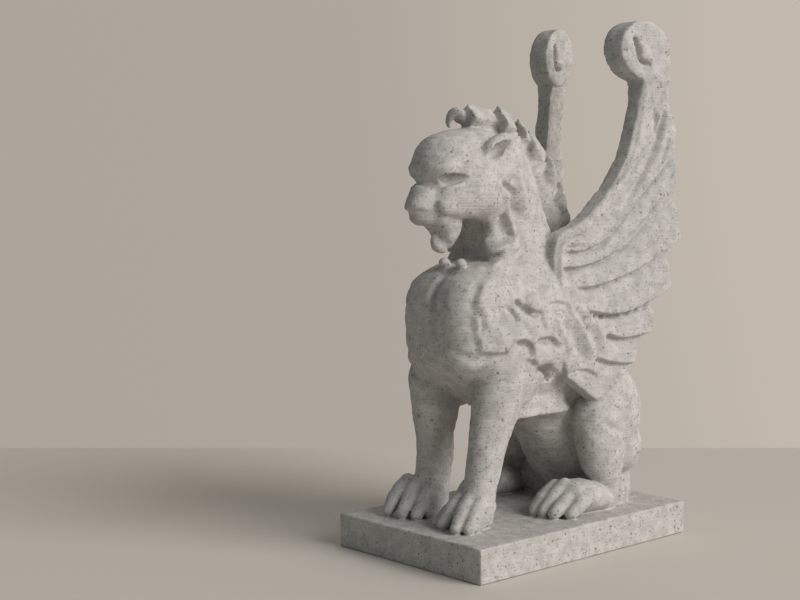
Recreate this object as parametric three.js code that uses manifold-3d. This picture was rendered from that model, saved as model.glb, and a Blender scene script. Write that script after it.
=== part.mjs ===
// A seated griffin on a low block plinth, made as one piece: lion's body and head, a crest of tufts
// down the neck, leaves over the shoulders and two tall wings that end in scrolls.
// Millimetres. +Z is up, the griffin faces -Y, and its left side is +X. The origin is the middle of
// the plinth's underside.
import * as THREE from 'three';
import { mergeVertices } from 'three/addons/utils/BufferGeometryUtils.js';
import Module from 'manifold-3d';

const wasm = await Module();
wasm.setup();

// Driving dimensions
const plinthWidth = 44.5;
const plinthDepth = 68;
const plinthHeight = 7.5;
const plinthCornerRadius = 0.6;
const figureHeight = 111.2; // from the plinth's top to the top of the scrolls
const pawSink = 0.4; // how deep the figure's underside runs into the plinth
const bladeThickness = 3.4;
const scrollThickness = 5;
const scrollRadius = 6.8;
const grooveWidth = 1.5; // between two feathers
const grooveDepth = 0.7;
const crestWidth = 6;
const capeThickness = 1.3; // how far the shoulder leaves stand out of the body

// The figure's free form is given in parts of its height: 1 is a millimetre at the height above, and
// z is counted from the plinth's top.
const drawnHeight = 111.2;
const unit = figureHeight / drawnHeight;
const at = (x, y, z) => new THREE.Vector3(x, y, z).multiplyScalar(unit);

// Both sides of the figure, as the sign of x
const left = 1;
const right = -1;
const sides = [left, right];

// Joining

// A closed three.js geometry as a solid, with its shared corners joined.
function solid(geometry) {
  const bare = geometry.clone();
  bare.deleteAttribute('normal');
  bare.deleteAttribute('uv');
  const joined = mergeVertices(bare, 1e-4);
  const corners = joined.index.array;
  const kept = [];
  for (let i = 0; i < corners.length; i += 3) {
    const [a, b, c] = corners.slice(i, i + 3);
    if (a !== b && b !== c && c !== a) kept.push(a, b, c);
  }
  return new wasm.Manifold(
    new wasm.Mesh({
      numProp: 3,
      vertProperties: joined.attributes.position.array,
      triVerts: new Uint32Array(kept)
    })
  );
}

// Joins a list of solids in pairs, so that each join stays small.
function join(solids) {
  let rest = solids;
  while (rest.length > 1) {
    const next = [];
    for (let i = 0; i < rest.length; i += 2) {
      next.push(i + 1 < rest.length ? rest[i].add(rest[i + 1]) : rest[i]);
    }
    rest = next;
  }
  return rest[0];
}

// Blended forms. A form is a function of a point: below 0 inside, above 0 outside, and about the
// distance to its surface nearby. Soft joins melt two forms together over a short width.

// An egg shape with its centre, its three half sizes and a lean about the x axis.
function egg([cx, cy, cz], [rx, ry, rz], lean = 0) {
  const c = Math.cos(lean);
  const s = Math.sin(lean);
  return (x, y, z) => {
    const dx = (x - cx) / rx;
    const dy = (c * (y - cy) + s * (z - cz)) / ry;
    const dz = (c * (z - cz) - s * (y - cy)) / rz;
    const size = Math.hypot(dx, dy, dz);
    const slope = Math.hypot(dx / rx, dy / ry, dz / rz);
    return slope === 0 ? -Math.min(rx, ry, rz) : (size * (size - 1)) / slope;
  };
}

// A body through level sections, from the top down: each is a height, a half width, a front and a
// back.
function levels(sections, squareness) {
  return (x, y, z) => {
    const last = sections.length - 1;
    let i = 1;
    while (i < last && sections[i][0] > z) i++;
    const [upper, lower] = [sections[i - 1], sections[i]];
    const share = THREE.MathUtils.clamp((upper[0] - z) / (upper[0] - lower[0]), 0, 1);
    const [, width, front, back] = upper.map((value, k) => value + share * (lower[k] - value));
    const dx = Math.abs(x) / width;
    const dy = Math.abs(y - (front + back) / 2) / ((back - front) / 2);
    const size = (dx ** squareness + dy ** squareness) ** (1 / squareness);
    const level = (size - 1) * width;
    return Math.max(level, z - sections[0][0], sections[last][0] - z);
  };
}

const softness = (a, b, width) => Math.max(width - Math.abs(a - b), 0) ** 2 / (4 * width);
const melt = (width, ...forms) => (x, y, z) =>
  forms
    .map(form => form(x, y, z))
    .reduce((a, b) => Math.min(a, b) - softness(a, b, width));
const carve = (width, form, ...hollows) => (x, y, z) =>
  hollows
    .map(hollow => -hollow(x, y, z))
    .reduce((a, b) => Math.max(a, b) + softness(a, b, width), form(x, y, z));
const paired = form => (x, y, z) => form(Math.abs(x), y, z);

// The distance from a point inside a form, along a direction, to the last place where it leaves it.
function reach(form, from, direction, furthest) {
  const inside = distance => {
    const p = from.clone().addScaledVector(direction, distance);
    return form(p.x, p.y, p.z) < 0;
  };
  const stride = 0.5;
  let outer = furthest;
  while (outer > stride && !inside(outer - stride)) outer -= stride;
  let inner = Math.max(outer - stride, 0);
  for (let i = 0; i < 12; i++) {
    const middle = (inner + outer) / 2;
    if (inside(middle)) inner = middle;
    else outer = middle;
  }
  return inner;
}

// Skins

// A closed sphere whose rows are moved: place gets each row's number and the angle round it.
function shapedSphere(columns, rows, place) {
  const geometry = new THREE.SphereGeometry(1, columns, rows);
  const position = geometry.attributes.position;
  for (let i = 0; i < position.count; i++) {
    const row = Math.floor(i / (columns + 1));
    const column = (i % (columns + 1)) % columns;
    const point = place(row, (column * 2 * Math.PI) / columns);
    position.setXYZ(i, point.x, point.y, point.z);
  }
  return geometry;
}

// The skin of a form that every ray from its middle leaves once. Its columns are spread evenly, or
// gathered at the front by a share up to 1.
function roundSkin(form, middle, columns, rows, furthest, gathered = 0) {
  const from = new THREE.Vector3(...middle);
  const geometry = shapedSphere(columns, rows, (row, evenAngle) => {
    const polar = (row / rows) * Math.PI;
    const angle = evenAngle - gathered * Math.cos(evenAngle);
    const direction = new THREE.Vector3(
      Math.sin(polar) * Math.cos(angle),
      Math.sin(polar) * Math.sin(angle),
      Math.cos(polar)
    );
    const distance = reach(form, from, direction, furthest);
    return from.clone().addScaledVector(direction, distance).multiplyScalar(unit);
  });
  return solid(geometry);
}

// The skin of a tall form, as rings at given heights from the top down. Each height comes with the
// ring's middle, and the ring's columns are spread for a section of the given depth to width.
function levelSkin(form, rings, columns, depthToWidth, furthest) {
  const geometry = shapedSphere(columns, rings.length + 1, (row, angle) => {
    const [z, y] = rings[THREE.MathUtils.clamp(row - 1, 0, rings.length - 1)];
    const from = new THREE.Vector3(0, y, z);
    if (row === 0 || row === rings.length + 1) return from.multiplyScalar(unit);
    const direction = new THREE.Vector3(Math.cos(angle), depthToWidth * Math.sin(angle), 0);
    direction.normalize();
    const distance = reach(form, from, direction, furthest);
    return from.addScaledVector(direction, distance).multiplyScalar(unit);
  });
  return solid(geometry);
}

// A number list read off at a share of its length, along a smooth curve.
function along(values, share) {
  const curve = new THREE.SplineCurve(values.map((value, i) => new THREE.Vector2(i, value)));
  return curve.getPoint(share).y;
}

// A round or flattened bar through stops of [x, y, z, radius], closed with round ends. wide is its
// half size along the direction across, as a share of the radius.
function bar(stops, columns, rows, wide = 1, across = new THREE.Vector3(1, 0, 0)) {
  const path = new THREE.CatmullRomCurve3(stops.map(([x, y, z]) => at(x, y, z)));
  const radii = stops.map(stop => stop[3] * unit);
  const endRows = 2;
  const geometry = shapedSphere(columns, rows + 2 * endRows, (row, angle) => {
    const share = THREE.MathUtils.clamp((row - endRows) / rows, 0, 1);
    const bend = ((Math.max(endRows - row, row - endRows - rows, 0) / endRows) * Math.PI) / 2;
    const radius = along(radii, share);
    const tangent = path.getTangent(share);
    const side = across.clone().addScaledVector(tangent, -across.dot(tangent)).normalize();
    const other = new THREE.Vector3().crossVectors(tangent, side);
    const outward = row < endRows ? -1 : 1;
    return path
      .getPoint(share)
      .addScaledVector(tangent, outward * radius * Math.sin(bend))
      .addScaledVector(side, -radius * wide * Math.cos(bend) * Math.cos(angle))
      .addScaledVector(other, radius * Math.cos(bend) * Math.sin(angle));
  });
  return solid(geometry);
}

// The same list of stops on one side of the figure.
const onSide = (stops, side) => stops.map(([x, ...others]) => [x * side, ...others]);

// Body

const trunkLevels = [
  [84.5, 5.5, -14, 0],
  [81, 7, -17, 3],
  [77, 7.6, -16.5, 4],
  [73, 7.8, -17.5, 5],
  [69, 7.8, -18.5, 7],
  [65, 7.9, -20, 9.5],
  [61, 8.3, -20.8, 12.5],
  [57.6, 8.8, -20.6, 16],
  [56, 10, -20.4, 17.5],
  [50, 11, -22, 20.5],
  [43, 11.4, -23, 23],
  [36, 11.4, -22.5, 26],
  [29, 10.8, -20, 28.5],
  [25, 10.2, -14, 30.3],
  [21.8, 9.6, -1.5, 31.3],
  [19, 9.4, 0.6, 31.8],
  [13, 9.4, 2.8, 32.4],
  [8, 9.6, 5.6, 32.4],
  [4, 9.6, 12, 31.5],
  [-1, 9, 15, 29]
];
const chestLevels = [
  [57, 8, -21.4, -2],
  [55.5, 9.6, -23.4, 0],
  [53, 11.4, -25.6, 1],
  [50, 12.9, -27.9, 2],
  [46, 13.6, -29, 3],
  [40, 13.7, -29.1, 3],
  [34, 13.3, -28.3, 3],
  [29.5, 12.4, -26.6, 3],
  [26, 10.6, -23, 2],
  [24, 8, -16, 0]
];
const trunkForm = melt(
  2,
  levels(trunkLevels, 2.15),
  levels(chestLevels, 2.1),
  paired(egg([8.4, -12, 36], [6, 10, 15])),
  paired(egg([8, -1, 42], [5.6, 10, 13])),
  egg([0, 20.8, 15], [11.8, 13.2, 15.5])
);
const trunkRings = [
  [84, -4],
  [80, -6],
  [76, -6],
  [72, -6],
  [68, -5],
  [64, -4],
  [60, -2],
  [57.4, -1],
  [55, 0],
  [52.5, 0],
  [49, 0],
  [44, 1],
  [39, 2],
  [34, 3],
  [30, 5],
  [27, 7],
  [25, 9],
  [21.8, 14],
  [18, 16],
  [13.5, 18],
  [9, 20],
  [5, 22],
  [-0.8, 22]
];

const trunk = inflation =>
  levelSkin((x, y, z) => trunkForm(x, y, z) - inflation, trunkRings, 18, 1.7, 45);

// The leaves over the shoulder: their shared outline as [y, z], and the hollows between them.
const capeOutline = [
  [-20.4, 56.4],
  [-21.8, 53],
  [-23.6, 50.2],
  [-22.9, 48.8],
  [-23.9, 47.6],
  [-23.7, 44],
  [-22.9, 38],
  [-19, 37.6],
  [-16, 38.4],
  [-13.2, 38],
  [-12.2, 36],
  [-8.6, 34.4],
  [-3.6, 34],
  [0.4, 31.8],
  [2.8, 28.6],
  [4, 32],
  [7, 38],
  [5, 46],
  [1, 52],
  [-1, 58],
  [-4, 62.6],
  [-8.3, 62.8],
  [-11.3, 61.4],
  [-14.9, 59],
  [-18, 57.6]
];
const capeHollows = [
  [
    [-18.4, 47.4],
    [-14.2, 49],
    [-14.4, 44.6],
    [-16.2, 46]
  ],
  [
    [-13.6, 41.2],
    [-10.8, 40.4],
    [-9.6, 37.6],
    [-11.6, 38.4]
  ],
  [
    [-8.2, 40.6],
    [-4, 41],
    [-0.4, 38.2],
    [-3.4, 38.7]
  ],
  [
    [-12.8, 48.6],
    [-10.4, 47],
    [-6, 47],
    [-7.4, 45.4],
    [-11, 45.9]
  ]
];

// The cape of leaves on one side: a slightly bigger skin of the body, kept inside the outline.
function cape(side) {
  const flat = points => points.map(([y, z]) => new THREE.Vector2(y, z));
  const outline = new THREE.Shape(flat(capeOutline));
  outline.holes = capeHollows.map(hollow => new THREE.Path(flat(hollow)));
  const reachOut = 30;
  const prism = new THREE.ExtrudeGeometry(outline, { depth: reachOut, bevelEnabled: false });
  const position = prism.attributes.position;
  for (let i = 0; i < position.count; i++) {
    const [y, z, x] = [position.getX(i), position.getY(i), position.getZ(i)];
    position.setXYZ(i, side * x * unit, y * unit, z * unit);
  }
  if (side === right) turnInsideOut(prism);
  return trunk(capeThickness / unit).intersect(solid(prism));
}

function tail() {
  const stops = [
    [0, 31, 9, 2.6],
    [-5, 32, 4, 2.2],
    [-12, 31, 2.1, 1.9],
    [-17.6, 27, 2, 1.8],
    [-19.6, 20, 2, 1.8],
    [-19.4, 14.5, 2.5, 2.5],
    [-18.6, 10, 1.8, 1.2]
  ];
  return bar(stops, 6, 11);
}

// Legs

// Four toes, each from a knuckle down to its tip: the tips are [x, y] on the ground, and the
// knuckles lie behind them.
function toes(tips, length, knuckleHeight, radius, side) {
  return tips.map(([x, y]) => {
    const stops = [
      [x, y + length, knuckleHeight, radius],
      [x, y + length * 0.5, knuckleHeight * 0.75, radius * 1.05],
      [x, y + radius, radius * 0.8, radius * 0.9]
    ];
    return bar(onSide(stops, side), 6, 2);
  });
}

const leftForeleg = [
  [8, -11.5, 36, 5],
  [8.6, -15.6, 28, 6],
  [8.8, -19.2, 20, 4.4],
  [8.8, -20.8, 13.5, 4.1],
  [8.8, -21.8, 8.5, 4.3],
  [8.6, -23.4, 3.5, 4.6]
];
const rightForeleg = [
  [-8, -11.5, 36, 5],
  [-8.5, -15.4, 27.5, 5.6],
  [-8.6, -17.2, 19, 4.4],
  [-8.7, -17.8, 13, 3.7],
  [-8.6, -18.6, 8.5, 4.1],
  [-8.5, -20, 3.5, 4.5]
];
const foretoeTips = [
  [3.6, -28.2],
  [6.8, -31],
  [10.2, -31],
  [13.2, -28.2]
];
const rightPawBack = 2.6; // the right forepaw stands this much further back
const hindtoeTips = [
  [8.9, -4.8],
  [12, -5],
  [15, -3.2],
  [17.5, 0]
];

function forelegs() {
  const rightTips = foretoeTips.map(([x, y]) => [x, y + rightPawBack]);
  const paw = (x, y) => roundSkin(egg([x, y, 2.6], [5.7, 7, 4.7]), [x, y, 2.6], 10, 6, 12);
  return [
    bar(leftForeleg, 9, 7),
    bar(rightForeleg, 9, 7),
    paw(8.5, -22.6),
    paw(-8.5, -22.6 + rightPawBack),
    ...toes(foretoeTips, 6, 6.2, 2, left),
    ...toes(rightTips, 6, 6.2, 2, right)
  ];
}

const haunchForm = melt(
  2,
  egg([12.3, 16.8, 18.5], [5.9, 8.2, 13.5]),
  egg([12.9, 17.2, 8.5], [5.1, 7.2, 9.5])
);
const hindFoot = [
  [13.8, 21, 2.6, 3.6],
  [13.6, 14, 3.2, 3.8],
  [13.2, 7, 3.4, 3.9],
  [13, 2.6, 3, 3.8]
];

function hindLegs() {
  return sides.flatMap(side => {
    const haunch = (x, y, z) => haunchForm(x * side, y, z);
    return [
      roundSkin(haunch, [12.4 * side, 16.8, 15], 12, 9, 22),
      bar(onSide(hindFoot, side), 8, 4, 1.3),
      ...toes(hindtoeTips, 6.2, 5.4, 1.9, side)
    ];
  });
}

// Head

const headForm = carve(
  1.2,
  melt(
    1.8,
    egg([0, -15.6, 76.5], [8.3, 12.4, 9.8]),
    egg([0, -24.8, 77.6], [6.4, 4.9, 2.9]),
    egg([0, -27.1, 73.4], [3, 4.9, 4.6]),
    egg([0, -26, 68.8], [4.4, 6, 3.8]),
    egg([0, -31.1, 69.3], [2.6, 2.4, 2.2]),
    egg([0, -18, 69.4], [6.4, 9, 4]),
    paired(egg([3.4, -25.4, 69], [2.6, 3.9, 3])),
    paired(egg([5, -15, 71.2], [3.9, 7.8, 6.6]))
  ),
  paired(egg([6.8, -25, 75], [2.2, 2.6, 1.4], -0.15))
);

function head() {
  const skin = roundSkin(headForm, [0, -18.6, 73.5], 26, 19, 22, 0.45);
  const beard = [
    [0, -22.8, 66, 4.2],
    [0, -22.2, 63.8, 3.5],
    [0.6, -22.2, 61.5, 2],
    [1, -22.4, 60, 0.7]
  ];
  const throatTuft = [
    [-2.2, -22, 62.4, 1.1],
    [-2, -21.4, 60.4, 1.5],
    [-1, -20.6, 58.4, 1.1]
  ];
  return [skin, bar(beard, 8, 4), bar(throatTuft, 6, 3), ...sides.map(ear)];
}

// A pointed ear laid back along the head, hollow on its outer side.
function ear(side) {
  const leaf = [
    [6.6, -19, 78.9, 1.6],
    [7.8, -16.4, 81.4, 2.6],
    [8.3, -12.8, 83.5, 2],
    [8.4, -9.2, 84.6, 0.5]
  ];
  const hollow = [
    [9.6, -17.6, 80.6, 1],
    [9.6, -15.4, 82, 1.6],
    [9.4, -12, 83.6, 0.8]
  ];
  return bar(onSide(leaf, side), 7, 4, 0.75).subtract(bar(onSide(hollow, side), 6, 3));
}

// Crest

// The crest's line over the head and down the neck, on the middle plane, as [y, z].
const crestLine = [
  [-17.5, 84.6],
  [-13, 85.6],
  [-7, 85.2],
  [0, 83.4],
  [6, 80.2],
  [10.2, 75.8],
  [12.8, 70.2],
  [15, 64.6]
];
// The tufts that lie on it like thick shingles, each a pyramid with its diamond base to the front:
// how far along the line the base is, how far it stands out and how long the tuft is.
const crestTufts = [
  [0.08, 6, 8],
  [0.28, 5.8, 8],
  [0.44, 4.8, 8],
  [0.57, 4.2, 8],
  [0.69, 4, 8],
  [0.8, 3.8, 8],
  [0.9, 3.6, 7]
];

function crest() {
  const ridgeRadius = 5;
  const inset = 2.8; // the ridge's middle lies this far inside the line
  const flat = crestWidth / unit / 2 / ridgeRadius;
  const line = new THREE.SplineCurve(crestLine.map(([y, z]) => new THREE.Vector2(y, z)));
  const stops = crestLine.map(([y, z], i) => {
    const heading = line.getTangent(i / (crestLine.length - 1));
    return [0, y + inset * heading.y, z - inset * heading.x, ridgeRadius];
  });
  const ridge = bar(stops, 8, 11, flat);
  const buried = 3;
  const tufts = crestTufts.map(([share, height, length]) => {
    const foot = line.getPoint(share);
    const heading = line.getTangent(share);
    const tuft = new THREE.ConeGeometry(1, length, 4).translate(0, length / 2, 0);
    tuft.scale(crestWidth / unit / 2, 1, (height + buried) / 2);
    tuft.translate(0, 0, (height - buried) / 2);
    tuft.rotateX(Math.atan2(heading.y, heading.x));
    tuft.translate(0, foot.x, foot.y).scale(unit, unit, unit);
    return solid(tuft);
  });
  const forelock = [
    [0, -16.6, 86.4, 1.7],
    [0, -18.8, 89, 1.8],
    [0, -20.8, 89.8, 1.4],
    [0, -21.8, 87.2, 0.8]
  ];
  return [ridge, bar(forelock, 7, 5), ...tufts];
}

// Wings

// A wing is drawn flat, as [y, z], and stood on its own plane, which passes through wingMiddle and
// goes outwards by wingSplay for each millimetre back and by wingLean for each millimetre up.
const wingMiddle = { x: 13.5, y: 23.5, z: 93 };
const wingSplay = 0.25;
const wingLean = -0.085;

const frontEdge = [
  [24.6, 97.5],
  [23.9, 92.5],
  [22.2, 87],
  [20, 81],
  [16, 74.6],
  [11.1, 69.4],
  [6.4, 65.4],
  [2.6, 63.8],
  [0.2, 62],
  [-1, 58.6],
  [-1.2, 54],
  [-1, 49],
  [-1, 42],
  [0, 36],
  [1, 31.2]
];
const scrollMiddle = [25.8, 104.4];

// The trailing edge from the scroll down, with each feather's tip standing out.
const trailingEdge = [
  [32.2, 103],
  [32, 93],
  [33.6, 87],
  [32.7, 82],
  [34, 77],
  [32, 71.6],
  [33.4, 66],
  [33.6, 61.8],
  [29.8, 57],
  [30.4, 50.8],
  [25.2, 46.6],
  [24.8, 42],
  [23.4, 39.4],
  [20, 38.4],
  [19.4, 34.6],
  [17.6, 32.6],
  [13, 28.6],
  [8.4, 25.4]
];

// The grooves between the feathers, from the shoulder out past the trailing edge.
const featherGrooves = [
  [
    [10.5, 67.6],
    [16.4, 73.4],
    [22, 79],
    [26.6, 84],
    [28.6, 91]
  ],
  [
    [1.2, 59.2],
    [6.5, 59],
    [13.5, 62],
    [19.5, 68],
    [25.5, 73.6],
    [34.6, 82.8]
  ],
  [
    [0.4, 55.4],
    [6.4, 55.6],
    [12.2, 57.2],
    [18.6, 60.6],
    [26.7, 67.4],
    [33.4, 73.2]
  ],
  [
    [4.3, 50.8],
    [9.9, 51.2],
    [16.1, 52.8],
    [22, 55],
    [27.6, 57.9],
    [35, 62.2]
  ],
  [
    [5.8, 46],
    [11.6, 44.8],
    [16.2, 44.9],
    [21, 46.1],
    [27, 48.4]
  ],
  [
    [11.4, 40.4],
    [15, 39.3],
    [19, 39.3],
    [25, 40.2]
  ],
  [
    [8.4, 35.2],
    [12.7, 33.8],
    [20.5, 33]
  ],
  [
    [2.8, 48.4],
    [7.2, 45.2],
    [10.2, 41],
    [11.6, 35.6]
  ],
  [
    [-0.8, 45.4],
    [2.4, 40.6],
    [5.6, 34.2]
  ]
];
const innerGrooves = featherGrooves.slice(1, 3); // the inner faces carry only the longest

// The middle of the wing's thickness, as x, at a place on its drawing.
const wingAt = (y, z) =>
  wingMiddle.x + wingSplay * (y - wingMiddle.y) + wingLean * (z - wingMiddle.z);

// A flat outline given its thickness along x and stood on the wing's plane on one side.
function wingPlate(shape, thickness, side, curveSegments) {
  const depth = thickness / unit;
  const geometry = new THREE.ExtrudeGeometry(shape, { depth, curveSegments, bevelEnabled: false });
  const position = geometry.attributes.position;
  for (let i = 0; i < position.count; i++) {
    const [y, z] = [position.getX(i), position.getY(i)];
    const x = wingAt(y, z) + position.getZ(i) - depth / 2;
    position.setXYZ(i, side * x * unit, y * unit, z * unit);
  }
  if (side === right) turnInsideOut(geometry);
  return solid(geometry);
}

// Turns each triangle over, for a geometry that has been mirrored.
function turnInsideOut(geometry) {
  const position = geometry.attributes.position;
  const place = new THREE.Vector3();
  const other = new THREE.Vector3();
  for (let i = 0; i < position.count; i += 3) {
    place.fromBufferAttribute(position, i + 1);
    other.fromBufferAttribute(position, i + 2);
    position.setXYZ(i + 1, ...other);
    position.setXYZ(i + 2, ...place);
  }
}

// A cutter with a diamond section along a line on the wing's drawing, centred on its outer face or,
// with face -1, on its inner one.
function grooveCutter(points, face, side) {
  const path = new THREE.SplineCurve(points.map(([y, z]) => new THREE.Vector2(y, z)));
  const steps = points.length + 1;
  const turn = face * side;
  const geometry = shapedSphere(4, steps, (row, angle) => {
    const place = path.getPoint(row / steps);
    const heading = path.getTangent(row / steps);
    const closing = row === 0 || row === steps ? 0 : 1;
    const deep = (closing * grooveDepth * Math.cos(angle)) / unit;
    const wide = (closing * grooveWidth * Math.sin(angle)) / 2 / unit;
    const [y, z] = [place.x - turn * wide * heading.y, place.y + turn * wide * heading.x];
    const x = wingAt(y, z) + face * (bladeThickness / 2 / unit + deep);
    return at(side * x, y, z);
  });
  return solid(geometry);
}

function wing(side) {
  const front = new THREE.SplineCurve(frontEdge.map(([y, z]) => new THREE.Vector2(y, z)));
  const trailing = trailingEdge.map(([y, z]) => new THREE.Vector2(y, z));
  const outline = new THREE.Shape([...trailing.reverse(), ...front.getPoints(16)]);
  const round = new THREE.Shape().absarc(...scrollMiddle, scrollRadius / unit, 0, 2 * Math.PI);
  const blade = wingPlate(outline, bladeThickness, side, 1);
  const scroll = wingPlate(round, scrollThickness, side, 11);
  const cutters = [
    ...featherGrooves.map(points => grooveCutter(points, 1, side)),
    ...innerGrooves.map(points => grooveCutter(points, -1, side))
  ];
  return blade.subtract(join(cutters)).add(scroll);
}

// Plinth

function plinth() {
  const outline = new THREE.Shape();
  const x = plinthWidth / 2 - plinthCornerRadius;
  const y = plinthDepth / 2 - plinthCornerRadius;
  const corners = [
    [x, y],
    [-x, y],
    [-x, -y],
    [x, -y]
  ];
  corners.forEach((corner, i) => {
    const start = (i * Math.PI) / 2;
    outline.absarc(...corner, plinthCornerRadius, start, start + Math.PI / 2);
  });
  outline.closePath();
  const cornerSteps = 3;
  const block = new THREE.ExtrudeGeometry(outline, {
    depth: plinthHeight,
    curveSegments: cornerSteps,
    bevelEnabled: false
  });
  return solid(block);
}

// The whole statue

const figure = join([
  trunk(0),
  tail(),
  ...forelegs(),
  ...hindLegs(),
  ...head(),
  ...crest(),
  ...sides.map(cape),
  ...sides.map(wing)
]);
const roomy = 4 * figureHeight;
const aboveGround = new THREE.BoxGeometry(roomy, roomy, roomy).translate(0, 0, roomy / 2 - pawSink);
const statue = figure.intersect(solid(aboveGround)).translate(0, 0, plinthHeight).add(plinth());

const built = statue.getMesh();
const geometry = new THREE.BufferGeometry();
geometry.setAttribute('position', new THREE.BufferAttribute(built.vertProperties, built.numProp));
geometry.setIndex(new THREE.BufferAttribute(built.triVerts, 1));
geometry.computeVertexNormals();

const speckledStone = new THREE.MeshStandardMaterial({
  color: 0xb9b2ab,
  roughness: 0.75,
  metalness: 0
});

const group = new THREE.Group();
const griffin = new THREE.Mesh(geometry, speckledStone);
griffin.name = 'griffin_statue';
group.add(griffin);

export default group;
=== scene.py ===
import itertools
import math

import bpy
import numpy as np
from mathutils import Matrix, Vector


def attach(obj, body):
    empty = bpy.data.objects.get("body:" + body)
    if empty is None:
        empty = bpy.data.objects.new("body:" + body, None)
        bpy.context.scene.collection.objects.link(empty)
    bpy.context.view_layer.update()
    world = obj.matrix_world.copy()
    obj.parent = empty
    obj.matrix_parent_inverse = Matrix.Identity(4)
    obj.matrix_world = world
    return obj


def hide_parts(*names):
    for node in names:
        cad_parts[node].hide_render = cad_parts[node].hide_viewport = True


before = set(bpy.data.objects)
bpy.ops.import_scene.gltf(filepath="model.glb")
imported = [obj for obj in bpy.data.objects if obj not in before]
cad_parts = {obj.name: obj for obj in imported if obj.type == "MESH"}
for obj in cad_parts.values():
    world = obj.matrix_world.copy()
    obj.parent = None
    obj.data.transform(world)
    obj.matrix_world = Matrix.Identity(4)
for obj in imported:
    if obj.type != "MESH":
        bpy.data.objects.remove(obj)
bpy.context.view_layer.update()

# Clay
# The statue is a field of distances on a grid, below 0 inside. Lengths are in millimetres, z is
# counted from the plinth's top, the figure faces -Y and its left side is +X.
PLINTH = (44.5, 68.0, 7.5)
FIGURE_HEIGHT = 111.2
STEP = 0.36
# the distance that an empty grid starts with, and the grid's margin around the statue
FAR = 8.0
AROUND = 0.9
LOW = (-PLINTH[0] / 2 - AROUND, -PLINTH[1] / 2 - AROUND, -PLINTH[2] - AROUND)
HIGH = (PLINTH[0] / 2 + AROUND, PLINTH[1] / 2 + AROUND, FIGURE_HEIGHT + AROUND)


def melt(a, b, width):
    """The union of two forms, blended over a width."""
    if width <= 0:
        return np.minimum(a, b)
    return np.minimum(a, b) - np.maximum(width - np.abs(a - b), 0) ** 2 / (4 * width)


def smooth_line(points, steps=6):
    """A smooth curve through points with any number of coordinates."""
    p = np.array(points, float)
    if len(p) < 3:
        return p
    ends = np.vstack([2 * p[0] - p[1], p, 2 * p[-1] - p[-2]])
    out = []
    for a, b, c, d in zip(ends, ends[1:], ends[2:], ends[3:]):
        for t in np.arange(steps) / steps:
            out.append(
                0.5
                * (
                    2 * b
                    + (c - a) * t
                    + (2 * a - 5 * b + 4 * c - d) * t**2
                    + (3 * b - a - 3 * c + d) * t**3
                )
            )
    out.append(p[-1])
    return np.array(out)


def margin(width):
    """How far around a form's box its blend over a width can reach."""
    return width + 3 * STEP


class Clay:
    """A block of distances that forms are added to and cut from."""

    def __init__(self, axes):
        self.axes = axes
        self.field = np.full([len(axis) for axis in axes], FAR, np.float32)

    def part(self, low, high, around):
        """The grid between two corners and some way around them, as slices and as places."""
        cut = tuple(
            slice(*np.searchsorted(axis, (a - around, b + around)))
            for axis, a, b in zip(self.axes, low, high)
        )
        return cut, np.ix_(*[axis[c] for axis, c in zip(self.axes, cut)])

    def add(self, form, width=0.0):
        """Adds a form, blended over a width."""
        shape, low, high = form
        cut, places = self.part(low, high, margin(width))
        self.field[cut] = melt(self.field[cut], shape(*places), width)

    def carve(self, form, width=0.0):
        """Takes a form away, blended over a width."""
        shape, low, high = form
        cut, places = self.part(low, high, margin(width))
        self.field[cut] = -melt(-self.field[cut], shape(*places), width)

    def block(self, low, high):
        """An empty block with the same grid, between two corners."""
        cut, _ = self.part(low, high, 0)
        other = Clay([axis[c] for axis, c in zip(self.axes, cut)])
        other.cut = cut
        return other

    def join(self, other, width):
        """Adds what was formed in a block."""
        self.field[other.cut] = melt(self.field[other.cut], other.field, width)


# Forms: each is a function of x, y, z, and the lowest and highest corner of its box.


def egg(center, radii):
    """An egg shape."""
    cx, cy, cz = center
    rx, ry, rz = radii

    def shape(x, y, z):
        x, y, z = x - cx, y - cy, z - cz
        size = np.sqrt((x / rx) ** 2 + (y / ry) ** 2 + (z / rz) ** 2)
        slope = np.sqrt((x / rx**2) ** 2 + (y / ry**2) ** 2 + (z / rz**2) ** 2) + 1e-6
        return size * (size - 1) / slope

    return shape, np.array(center) - radii, np.array(center) + radii


def bar(stops, flat=1.0, smooth=4):
    """A round bar through stops of [x, y, z, radius]. flat is its half size along x as a share."""
    line = smooth_line(stops, smooth)

    def shape(x, y, z):
        found = None
        for a, b in zip(line, line[1:]):
            along = b[:3] - a[:3]
            length = max(float(along @ along), 1e-9)
            t = ((x - a[0]) * along[0] + (y - a[1]) * along[1] + (z - a[2]) * along[2]) / length
            t = np.clip(t, 0, 1)
            dx = (x - a[0] - t * along[0]) / flat
            dy = y - a[1] - t * along[1]
            dz = z - a[2] - t * along[2]
            d = np.sqrt(dx**2 + dy**2 + dz**2) - a[3] - t * (b[3] - a[3])
            found = d if found is None else np.minimum(found, d)
        return found * min(flat, 1.0)

    reach = line[:, 3:4] * np.array([[max(flat, 1.0), 1, 1]])
    return shape, (line[:, :3] - reach).min(0), (line[:, :3] + reach).max(0)


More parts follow.
